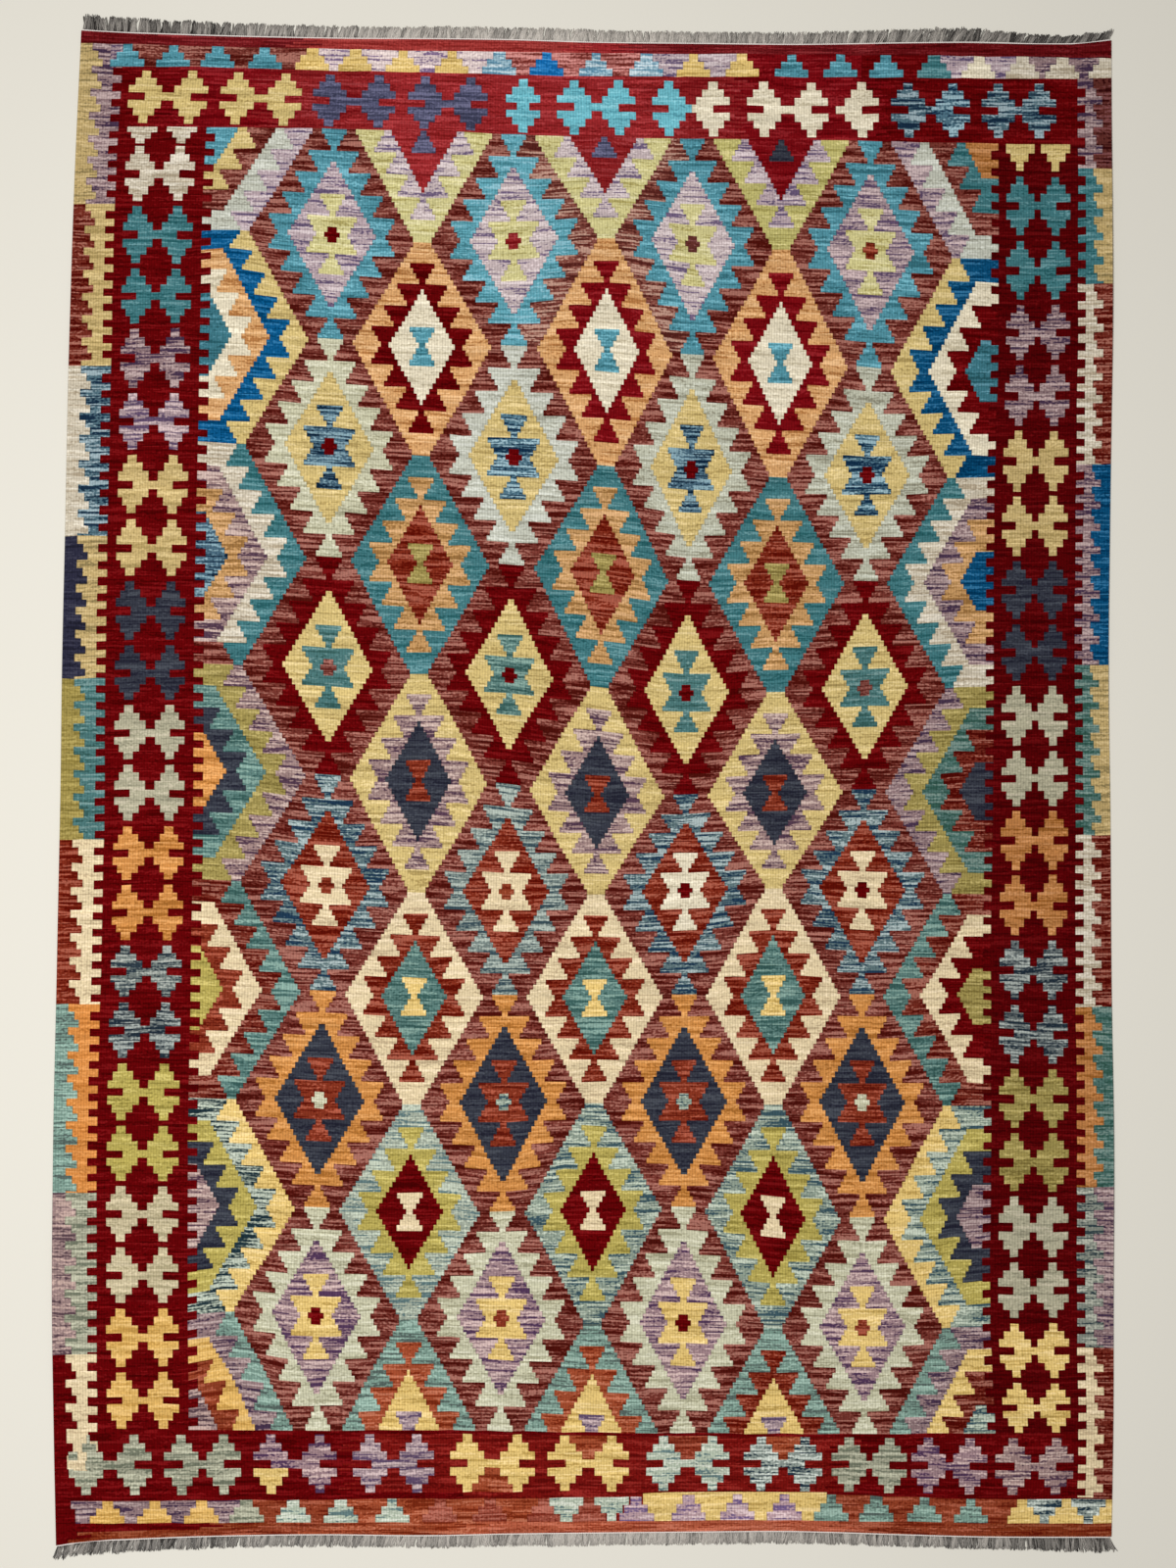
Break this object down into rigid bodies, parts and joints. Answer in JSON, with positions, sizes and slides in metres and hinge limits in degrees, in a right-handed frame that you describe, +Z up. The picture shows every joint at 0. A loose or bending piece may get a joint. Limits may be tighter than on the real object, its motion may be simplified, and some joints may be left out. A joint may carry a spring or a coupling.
{
  "type": "kilim rug",
  "caption": "Flat-woven wool rug with stepped diamonds, hooked borders, twined ends and short cut fringes, lying flat on a floor.",
  "frame": {"origin": "on the floor, under the middle of the whole rug with its fringes", "axes": "+X across the rug to its right, +Y along the rug to its far end, +Z up out of its face"},
  "size_m": [2.0412, 2.9778, 0.0074],
  "materials": {
    "wool_weave": "matt weft-faced wool weave in many dyed colours",
    "warp_wool": "matt undyed grey wool ends",
    "twined_cotton": "matt white twined cord"
  },
  "bodies": {
    "root": {"woven_panel": "wool_weave", "far_fringe": "warp_wool", "near_fringe": "warp_wool"}
  },
  "joints": []
}
